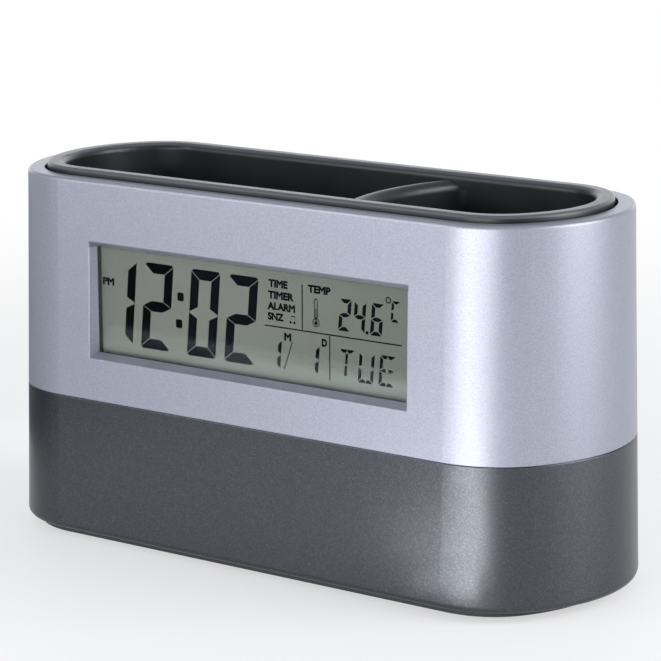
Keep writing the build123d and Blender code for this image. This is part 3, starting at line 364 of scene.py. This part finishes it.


# Pen cup: one black moulding with a fine spark-eroded grain, and a painted sheen that turns
# the flange's top lighter grey. It hangs in the upper housing by that flange.
def moulded(name, ground, lit, roughness, grain_size, grain_depth, edge_radius, wear_and_sheen=None):
    """Moulded plastic: grained, cloudy in colour and in shine, with a painted grey sheen above a
    height.
    """
    finish, start = new_finish(name)
    place = start.node("TexCoord", out="Object")
    cloud = noise(place, 9.0, 3.0)
    grain = noise(place, grain_size, 2.0)
    body = mix(cloud * 0.6 + grain * 0.4, colour(ground), colour(lit))
    # A painted sheen: the body turns lighter grey above the given height.
    if wear_and_sheen:
        height = place.node("SeparateXYZ", {0: place}, out="Z")
        painted_sheen = step(height, wear_and_sheen * mm, (wear_and_sheen + 0.4) * mm) * (0.6 + 0.4 * cloud)
        body = mix(painted_sheen, body, colour("5a5c64"))
    normal = place.node(
        "Bump",
        {
            "Strength": 0.5,
            "Distance": grain_depth * mm,
            "Height": grain,
            "Normal": rounded_normal(place, edge_radius),
        },
    )
    surface = place.node(
        "BsdfPrincipled",
        {
            "Base Color": body,
            "Roughness": roughness - 0.06 + 0.12 * cloud,
            "Normal": normal,
        },
    )
    return close_finish(finish, surface)


cup_finish = moulded("black_plastic", "1a1b1f", "232529", 0.36, 0.35, 0.015, 0.3, wear_and_sheen=88.1)
dress(cup_finish, "pen_cup")


# Base plate and battery door: matt black mouldings. The rubber feet are pressed into
# recesses of the plate.
base_finish = moulded("base_plastic", "202224", "2e3033", 0.55, 0.45, 0.03, 0.15)
dress(base_finish, "bottom_cover", "battery_door")
dress(
    moulded("foot_rubber", "2a2a2b", "38383a", 0.8, 0.25, 0.03, 0.15),
    *[f"foot_{row}_{side}" for row in ("front", "rear") for side in ("left", "right")],
)


# Window lens: a clear acrylic sheet, glued behind the window. It mirrors the table's pale
# front, so the lower third of the display looks veiled. Polarizer and front glass lie on it.
def clear_sheet(name, tint, least_mirrored, gloss_roughness):
    """A clear sheet: light passes straight on, and its faces mirror it, more at a slant."""
    finish, start = new_finish(name)
    place = start.node("TexCoord", out="Object")
    facing = place.node("LayerWeight", {"Blend": 0.5}, out="Facing")
    wave = place.node(
        "Bump", {"Strength": 0.15, "Distance": 0.02 * mm, "Height": noise(place, 12.0)}
    )
    gloss = {"Color": colour("dfe9f7"), "Roughness": gloss_roughness, "Normal": wave}
    surface = place.node(
        "MixShader",
        {
            0: least_mirrored + (1 - least_mirrored) * facing**5,
            1: place.node("BsdfTransparent", {"Color": colour(tint)}),
            2: place.node("BsdfGlossy", gloss),
        },
    )
    return close_finish(finish, surface)


dress(clear_sheet("clear_lens", "fafbfb", 0.022, 0.05), "window_lens")
dress(clear_sheet("polarizer_film", "f6f6f4", 0.0, 0.3), "front_polarizer")
dress(clear_sheet("front_glass_clear", "f8f9f8", 0.0, 0.1), "front_glass")
for name in ("window_lens", "front_polarizer", "front_glass"):
    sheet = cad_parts[name]
    sheet.visible_shadow = sheet.visible_diffuse = False


# Rear glass: the crystal's grey-green ground, a little cloudy from the foil behind it, darker
# towards the right, with painted shade where the housing shades it beyond the window's edge
# and a painted reflection of the pale table that lightens its lower part.
ground_finish, start = new_finish("display_ground")
place = start.node("TexCoord", out="Object")
across = place.node("SeparateXYZ", {0: place}, out="X")
height = place.node("SeparateXYZ", {0: place}, out="Z")
ground_cloud = noise(place, 14.0, 3.0) * 0.7 + noise(place, 0.5) * 0.3
ground_lit = mix(ground_cloud, colour("6f726d"), colour("777a75"))
ground_right = mix(step(across, -20 * mm, 44 * mm) * 0.75, ground_lit, colour("5c605c"))
# A painted reflection of the pale table lightens the lower part.
ground_painted_reflection = mix(step(height, 51.5 * mm, 48.5 * mm) * 0.9, ground_right, colour("7f8580"))
shaded_sides = step(across, -44.5 * mm, -45.3 * mm) + step(across, 44.5 * mm, 45.3 * mm)
shaded_top = step(height, 70.9 * mm, 71.7 * mm) * 0.6
shaded_foot = step(height, 47.3 * mm, 46.2 * mm) * 0.5
shaded = shaded_sides + shaded_top + shaded_foot
ground_surface = place.node(
    "BsdfPrincipled",
    {
        "Base Color": mix(shaded * 0.9, ground_painted_reflection, colour("1d1f1e")),
        "Roughness": 0.6,
        "Specular IOR Level": 0.0,
    },
)
dress(close_finish(ground_finish, ground_surface), "rear_glass")


# Display ink: what the crystal shows. The numbers are CAD pieces; the fixed words and the
# two small signs beside them lie in the same thin gap.
ink_finish, start = new_finish("display_ink")
place = start.node("TexCoord", out="Object")
ink_surface = place.node(
    "BsdfPrincipled",
    {
        "Base Color": mix(noise(place, 3.0), colour("090b0f"), colour("111418")),
        "Roughness": 0.5,
        "Specular IOR Level": 0.0,
    },
)
dress(close_finish(ink_finish, ink_surface), "lcd_segments")
to_display = Matrix(((1, 0, 0, 0), (0, 0, -1, 0), (0, 1, 0, 0), (0, 0, 0, 1)))
ink_y = -26.125
ink_half_thickness = 0.012


def lay_flat(shape, turn, place, half_thickness):
    """Turns a flat drawing made in x and y to its plane and puts it in place, in millimetres."""
    bmesh.ops.scale(shape, verts=shape.verts, vec=(mm, mm, half_thickness * mm))
    moved = Matrix.Translation(Vector(place) * mm) @ turn
    bmesh.ops.transform(shape, verts=shape.verts, matrix=moved)


def thicken(shape):
    """Gives a flat drawing its thickness, from -1 to 1, as a closed shape."""
    bmesh.ops.translate(shape, verts=shape.verts, vec=(0.0, 0.0, -1.0))
    grown = bmesh.ops.extrude_face_region(shape, geom=shape.faces[:])["geom"]
    points = [part for part in grown if isinstance(part, bmesh.types.BMVert)]
    bmesh.ops.translate(shape, verts=points, vec=(0.0, 0.0, 2.0))
    bmesh.ops.recalc_face_normals(shape, faces=shape.faces)


def embolden(shape, boldness):
    """Moves the outline of a flat drawing outwards."""
    moves = []
    for point in shape.verts:
        sides = []
        for edge in point.link_edges:
            if edge.is_boundary:
                along = (edge.verts[1].co - edge.verts[0].co).normalized()
                side = Vector((along.y, -along.x, 0.0))
                inward = edge.link_faces[0].calc_center_median() - edge.verts[0].co
                sides.append(-side if side.dot(inward) > 0 else side)
        if len(sides) == 2:
            moves.append((point, (sides[0] + sides[1]) / max(1 + sides[0].dot(sides[1]), 0.4)))
    for point, move in moves:
        point.co += boldness * move


def set_words(name, words, width, height, boldness, turn, place, half_thickness):
    """Words of a width and height in millimetres, set about their middle, as closed letters."""
    letters = bpy.data.curves.new(name, "FONT")
    letters.body = words
    letters.resolution_u = 4
    holder = bpy.data.objects.new(name, letters)
    drawn = bpy.data.meshes.new_from_object(holder)
    bpy.data.objects.remove(holder)
    bpy.data.curves.remove(letters)
    shape = bmesh.new()
    shape.from_mesh(drawn)
    bpy.data.meshes.remove(drawn)
    bmesh.ops.remove_doubles(shape, verts=shape.verts, dist=0.012)
    embolden(shape, boldness)
    thicken(shape)
    left, low = [min(point.co[axis] for point in shape.verts) for axis in (0, 1)]
    right, high = [max(point.co[axis] for point in shape.verts) for axis in (0, 1)]
    to_middle = (-(left + right) / 2, -(low + high) / 2, 0.0)
    to_size = (width / (right - left), height / (high - low), 1.0)
    bmesh.ops.translate(shape, verts=shape.verts, vec=to_middle)
    bmesh.ops.scale(shape, verts=shape.verts, vec=to_size)
    lay_flat(shape, turn, place, half_thickness)
    return mesh_of(shape, name)


ink_boldness = 0.055
for words, x, z, width, height in (
    ("PM", -42.8, 63.25, 3.5, 1.85),
    ("TIME", 7.3, 68.35, 5.4, 1.8),
    ("TIMER", 8.1, 65.7, 7.3, 1.8),
    ("ALARM", 8.15, 63.13, 7.8, 1.8),
    ("SNZ", 6.6, 60.74, 4.6, 1.8),
    ("TEMP", 18.8, 68.3, 6.3, 1.8),
    ("M", 9.93, 56.47, 2.0, 1.8),
    ("D", 20.17, 56.42, 1.5, 1.8),
):
    name = f"display_{words.lower()}"
    spot = (x, ink_y, z)
    drawn_words = set_words(
        name, words, width, height, ink_boldness, to_display, spot, ink_half_thickness
    )
    piece = new_piece(name, drawn_words, ink_finish)
    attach(piece, "casing")


def draw_plate(shape, left, low, right, high):
    """A flat rectangle of a drawing."""
    corners = ((left, low), (right, low), (right, high), (left, high))
    shape.faces.new([shape.verts.new((x, y, 0.0)) for x, y in corners])


def draw_disc(shape, x, y, radius):
    """A flat round spot of a drawing."""
    bmesh.ops.create_circle(
        shape, cap_ends=True, segments=20, radius=radius, matrix=Matrix.Translation((x, y, 0.0))
    )


def draw_band(shape, x, y, radius, stretch, stroke):
    """The outline of a long round-ended spot: two circles drawn apart and bridged."""
    edges = []
    for size in (radius, radius - stroke):
        made = bmesh.ops.create_circle(
            shape, cap_ends=False, segments=24, radius=size, matrix=Matrix.Translation((x, y, 0.0))
        )["verts"]
        upper = [point for point in made if point.co.y > y + 1e-4]
        bmesh.ops.translate(shape, verts=upper, vec=(0.0, stretch, 0.0))
        edges += {edge for point in made for edge in point.link_edges}
    bmesh.ops.bridge_loops(shape, edges=edges)


def close_drawing(shape, name, place):
    """Gives a flat drawing its thickness and lays it in the display."""
    thicken(shape)
    lay_flat(shape, to_display, place, ink_half_thickness)
    piece = new_piece(name, mesh_of(shape, name), ink_finish)
    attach(piece, "casing")


note_shape = bmesh.new()
draw_disc(note_shape, -0.55, -0.75, 0.3)
draw_disc(note_shape, 0.55, -0.75, 0.3)
draw_plate(note_shape, -0.42, -0.6, -0.34, 0.8)
draw_plate(note_shape, 0.68, -0.6, 0.76, 0.8)
draw_plate(note_shape, -0.34, 0.6, 0.68, 0.8)
close_drawing(note_shape, "display_note", (11.3, ink_y, 60.7))

thermometer_shape = bmesh.new()
draw_band(thermometer_shape, 0.0, -0.9, 0.52, 3.6, 0.2)
draw_band(thermometer_shape, 0.0, -2.25, 0.98, 0.0, 0.2)
draw_disc(thermometer_shape, 0.0, -2.35, 0.45)
draw_plate(thermometer_shape, -0.13, -2.0, 0.13, 0.9)
close_drawing(thermometer_shape, "display_thermometer", (17.87, ink_y, 63.0))


# Seal and reflector: a bead of amber resin closes the two glasses at their edge, and a
# brushed foil lies behind them.
def flat_finish(name, ground, lit, size, roughness, metallic=0.0, **more):
    """A finish that only clouds between two colours, with a fine matching grain."""
    finish, start = new_finish(name)
    place = start.node("TexCoord", out="Object")
    cloud = noise(place, size, 3.0)
    grain = place.node(
        "Bump", {"Strength": 0.25, "Distance": 0.01 * mm, "Height": noise(place, size / 6)}
    )
    surface = place.node(
        "BsdfPrincipled",
        {
            "Base Color": mix(cloud, colour(ground), colour(lit)),
            "Roughness": roughness - 0.05 + 0.1 * cloud,
            "Metallic": metallic,
            "Normal": grain,
            **more,
        },
    )
    return close_finish(finish, surface)


dress(flat_finish("seal_resin", "6e6a55", "7d7963", 4.0, 0.4), "lcd_seal")
dress(flat_finish("reflector_foil", "b9bdbc", "cdd0cf", 2.0, 0.3, 1.0), "lcd_reflector")


# Display ribbon: clear film with printed carbon tracks, pressed to the glass at one end and
# to the main board at the other.
def stripes(value, width, spacing):
    """1 on stripes of a width at a spacing, in millimetres, else 0."""
    return value.node(
        "MapRange",
        {
            "Value": value.math("COSINE", value * (2 * pi / (spacing * mm))),
            "From Min": cos(pi * width / spacing) - 0.1,
            "From Max": cos(pi * width / spacing) + 0.1,
        },
    )


ribbon_finish, start = new_finish("ribbon_film")
place = start.node("TexCoord", out="Object")
track = stripes(place.node("SeparateXYZ", {0: place}, out="X"), 0.5, 1.0)
ribbon_surface = place.node(
    "BsdfPrincipled",
    {
        "Base Color": mix(track, colour("c9bb8d"), colour("2b2927")),
        "Roughness": 0.35 + 0.2 * track,
    },
)
dress(close_finish(ribbon_finish, ribbon_surface), "lcd_ribbon")


# Display holder and plungers: white styrene mouldings with a faint satin grain. The holder
# is screwed in behind the display, and each plunger stands on its switch.
white_finish = moulded("white_plastic", "dedfda", "ebebe7", 0.45, 0.5, 0.02, 0.1)
dress(white_finish, "lcd_holder", *[f"{name}_plunger" for name in ("mode", "set", "up", "down")])


# Main board and key board: glass-fibre sheets, green lacquer over copper tracks, with tinned
# pads in rows. Screws hold them to the bosses of the lower housing.
board_finish, start = new_finish("board_lacquer")
place = start.node("TexCoord", out="Object")
across = place.node("SeparateXYZ", {0: place}, out="X")
height = place.node("SeparateXYZ", {0: place}, out="Z")
zones = place.node(
    "TexVoronoi", {"Vector": place, "Scale": 1 / (9 * mm)}, out="Color", distance="CHEBYCHEV"
)
zone = place.node("SeparateColor", {0: zones})
upright = step(zone, 0.49, 0.51)
track = stripes(across, 0.45, 1.5) * upright + stripes(height, 0.45, 1.5) * (1 - upright)
pad = stripes(across, 0.8, 3.0) * stripes(height, 0.8, 3.0) * step(zone, 0.7, 0.71)
lacquer = mix(noise(place, 6.0), colour("1c5a38"), colour("226643"))
relief = place.node("Bump", {"Strength": 0.4, "Distance": 0.04 * mm, "Height": track + pad})
board_surface = place.node(
    "BsdfPrincipled",
    {
        "Base Color": mix(pad, mix(track * 0.7, lacquer, colour("2f7d52")), colour("c4c6c2")),
        "Metallic": pad,
        "Roughness": 0.35 + 0.1 * noise(place, 2.0),
        "Normal": relief,
    },
)
dress(close_finish(board_finish, board_surface), "main_board", "key_board")


# Clock chip, switches and temperature bead: black epoxy, glossy where it was poured and
# satin where it was moulded.
dress(flat_finish("poured_resin", "101112", "18191b", 3.0, 0.2), "clock_chip")
dress(flat_finish("bead_resin", "141516", "1e1f21", 1.0, 0.35), "thermistor")
dress(
    flat_finish("switch_plastic", "1b1c1e", "252629", 2.0, 0.5),
    *[f"{name}_switch" for name in ("mode", "set", "up", "down")],
)


# Crystal can and chip parts: a nickel-plated tube, tan ceramic blocks and black resistors,
# each block with tinned ends.
def tipped(name, ground, lit, ends):
    """Small chip parts: a body colour with tinned ends, where ends is 1."""
    finish, start = new_finish(name)
    place = start.node("TexCoord", out="Object")
    tin = ends(place)
    body = mix(noise(place, 0.4), colour(ground), colour(lit))
    surface = place.node(
        "BsdfPrincipled",
        {
            "Base Color": mix(tin, body, colour("c9cbc8")),
            "Metallic": tin,
            "Roughness": 0.35 + 0.1 * noise(place, 0.8),
        },
    )
    return close_finish(finish, surface)


tin_start, tin_end = 0.6 * mm, 0.68 * mm
capacitor_z = 20.0 * mm
resistors_x = -12.0 * mm
resistor_offset = 1.75 * mm


def capacitor_ends(place):
    rise = place.node("SeparateXYZ", {0: place}, out="Z") - capacitor_z
    return step(abs(rise), tin_start, tin_end)


def resistor_ends(place):
    from_middle = abs(place.node("SeparateXYZ", {0: place}, out="X") - resistors_x)
    return step(abs(from_middle - resistor_offset), tin_start, tin_end)


dress(flat_finish("plated_can", "b4b6b5", "c9cbc9", 1.5, 0.28, 1.0), "quartz_crystal")
dress(tipped("ceramic_chip", "b08f62", "bd9c70", capacitor_ends), "timing_capacitors")
dress(tipped("resistor_chip", "161719", "222427", resistor_ends), "chip_resistors")


# Filter capacitor: an aluminium can in a dark sleeve with a pale stripe for its minus side,
# soldered to the main board.
sleeve_finish, start = new_finish("capacitor_sleeve")
place = start.node("TexCoord", out="Object")
across = place.node("SeparateXYZ", {0: place}, out="X")
height = place.node("SeparateXYZ", {0: place}, out="Z")
sleeve_top_z = 13.2 * mm
stripe_x = -23.0 * mm
bare = step(height, sleeve_top_z, sleeve_top_z + 0.1 * mm)
striped = step(across, stripe_x + 0.1 * mm, stripe_x - 0.1 * mm) * (1 - bare)
sleeve = mix(noise(place, 1.5), colour("20262f"), colour("2b323d"))
sleeve_surface = place.node(
    "BsdfPrincipled",
    {
        "Base Color": mix(bare, mix(striped, sleeve, colour("b9bec6")), colour("c4c6c8")),
        "Metallic": bare,
        "Roughness": 0.35,
    },
)
dress(close_finish(sleeve_finish, sleeve_surface), "filter_capacitor")


# Buttons: four dark grey caps in the rear panel, satin, a little polished by fingers. Each
# is moulded with a flange that keeps it behind the wall.
dress(
    moulded("button_plastic", "3b3d40", "484a4e", 0.4, 0.3, 0.02, 0.25),
    *[f"{name}_button" for name in ("mode", "set", "up", "down")],
)


# Rear words: what each button does, printed in pale ink over it on the rear panel, after the
# shell is sprayed.
to_rear = Matrix(((-1, 0, 0, 0), (0, 0, 1, 0), (0, 1, 0, 0), (0, 0, 0, 1)))
print_finish = flat_finish("pale_print", "b9bcc0", "c8cbcf", 1.0, 0.5)
print_height = 1.5
print_boldness = 0.015
print_y, print_z = 30.21, 24.3
print_half_thickness = 0.02
for words, x, width in (
    ("MODE", 21.0, 6.2),
    ("SET", 7.0, 4.4),
    ("UP", -7.0, 2.9),
    ("DOWN", -21.0, 6.4),
):
    name = f"rear_{words.lower()}"
    spot = (x, print_y, print_z)
    drawn_words = set_words(
        name, words, width, print_height, print_boldness, to_rear, spot, print_half_thickness
    )
    piece = new_piece(name, drawn_words, print_finish)
    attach(piece, "casing")


# Buzzer: a brass disc with a white ceramic disc on it, silvered in its middle. It is glued
# into the ring of the base plate, over the sound holes.
brass_finish, start = new_finish("buzzer_brass")
place = start.node("TexCoord", out="Object")
swirl = noise(place.node("Mapping", {"Vector": place, "Scale": (1.0, 14.0, 1.0)}), 4.0, 3.0)
brass_surface = place.node(
    "BsdfPrincipled",
    {
        "Base Color": mix(swirl, colour("b08a45"), colour("c7a257")),
        "Metallic": 1.0,
        "Roughness": 0.28 + 0.12 * swirl,
    },
)
dress(close_finish(brass_finish, brass_surface), "buzzer_disc")

ceramic_finish, start = new_finish("buzzer_ceramic")
place = start.node("TexCoord", out="Object")
buzzer_middle = (62 * mm, 0.0, 4.9 * mm)
silver_radius = 6.1 * mm
from_middle = place.node(
    "VectorMath", {0: place, 1: buzzer_middle}, out="Value", operation="DISTANCE"
)
silvered = step(from_middle, silver_radius + 0.1 * mm, silver_radius)
silver_coat = mix(noise(place, 1.0), colour("bfc1c2"), colour("d2d4d4"))
ceramic_surface = place.node(
    "BsdfPrincipled",
    {
        "Base Color": mix(silvered, colour("e4e2d8"), silver_coat),
        "Metallic": silvered * 0.8,
        "Roughness": 0.5 - 0.1 * silvered,
    },
)
dress(close_finish(ceramic_finish, ceramic_surface), "buzzer_ceramic")


# Cells: steel cans in a printed wrap, plain teal with a pale band at the positive end. They
# lie side by side in the battery box, turned opposite ways.
for name, turn in (("battery_cell_front", 1.0), ("battery_cell_rear", -1.0)):
    cell_finish, start = new_finish(f"{name}_wrap")
    place = start.node("TexCoord", out="Object")
    along = place.node("SeparateXYZ", {0: place}, out="X") * turn
    steel = step(along, 23.6 * mm, 23.7 * mm) + step(along, -18.8 * mm, -18.9 * mm)
    band = step(along, 15.4 * mm, 15.5 * mm)
    ring = step(along, 14.4 * mm, 14.5 * mm) - step(along, 14.9 * mm, 15.0 * mm)
    wrap = mix(noise(place, 5.0), colour("1d6661"), colour("23726c"))
    printed = mix(ring, mix(band, wrap, colour("c3c8c9")), colour("d9b44a"))
    cell_surface = place.node(
        "BsdfPrincipled",
        {
            "Base Color": mix(steel, printed, colour("c0c1c0")),
            "Metallic": steel,
            "Roughness": 0.3 + 0.08 * noise(place, 2.0),
        },
    )
    dress(close_finish(cell_finish, cell_surface), name)


# Battery contacts: nickel-plated spring steel, stamped and bent, slid in at the two ends of
# the battery box.
plated_finish = flat_finish("nickel_plate", "c3c2bb", "d5d4cd", 2.5, 0.3, 1.0)
dress(plated_finish, "positive_contact", "spring_contact", "bridge_contact")


# Leads: soft PVC over copper strands, red and black. The key ribbon is six grey cores side
# by side, the outer one marked.
dress(flat_finish("red_lead", "9d1d1c", "b12524", 5.0, 0.42), "battery_lead_red", "buzzer_lead_red")
dress(
    flat_finish("black_lead", "161617", "202022", 5.0, 0.42),
    "battery_lead_black",
    "buzzer_lead_black",
)
cores_finish, start = new_finish("grey_ribbon")
place = start.node("TexCoord", out="Object")
key_ribbon_x = -33.0 * mm
core_spacing = 7.6 / 6 * mm
across = place.node("SeparateXYZ", {0: place}, out="X") - key_ribbon_x
core = place.math("COSINE", across * (2 * pi / core_spacing)) * -0.5 + 0.5
marked = step(across, 2.5 * mm, 2.6 * mm)
cores_surface = place.node(
    "BsdfPrincipled",
    {
        "Base Color": mix(marked, mix(core, colour("7d8084"), colour("9da0a4")), colour("a33030")),
        "Roughness": 0.5,
        "Normal": place.node("Bump", {"Strength": 0.8, "Distance": 0.2 * mm, "Height": core}),
    },
)
dress(close_finish(cores_finish, cores_surface), "key_ribbon")


# Screws: zinc-plated steel with a faint machining grain. Small ones hold the boards and the
# display, long ones the base plate.
dress(
    flat_finish("zinc_steel", "9ea1a3", "b6b9ba", 1.2, 0.32, 1.0),
    "base_screws",
    "board_screws",
    "key_board_screws",
    "holder_screws",
)


# Battery door's arrow: a low triangle on the underside of the door, of one moulding with
# it, pointing the way it slides.
arrow_radius, arrow_face_radius = 2.4 * mm, 2.2 * mm
arrow_thickness = 0.3 * mm
arrow_place = (0.0, -1.5 * mm, 0.7 * mm)
arrow_shape = bmesh.new()
bmesh.ops.create_cone(
    arrow_shape,
    cap_ends=True,
    segments=3,
    radius1=arrow_radius,
    radius2=arrow_face_radius,
    depth=arrow_thickness,
)
bmesh.ops.rotate(arrow_shape, verts=arrow_shape.verts, matrix=Matrix.Rotation(pi, 3, "X"))
bmesh.ops.translate(arrow_shape, verts=arrow_shape.verts, vec=arrow_place)
arrow = new_piece("door_arrow", mesh_of(arrow_shape, "door_arrow"), base_finish)
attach(arrow, "battery_door")
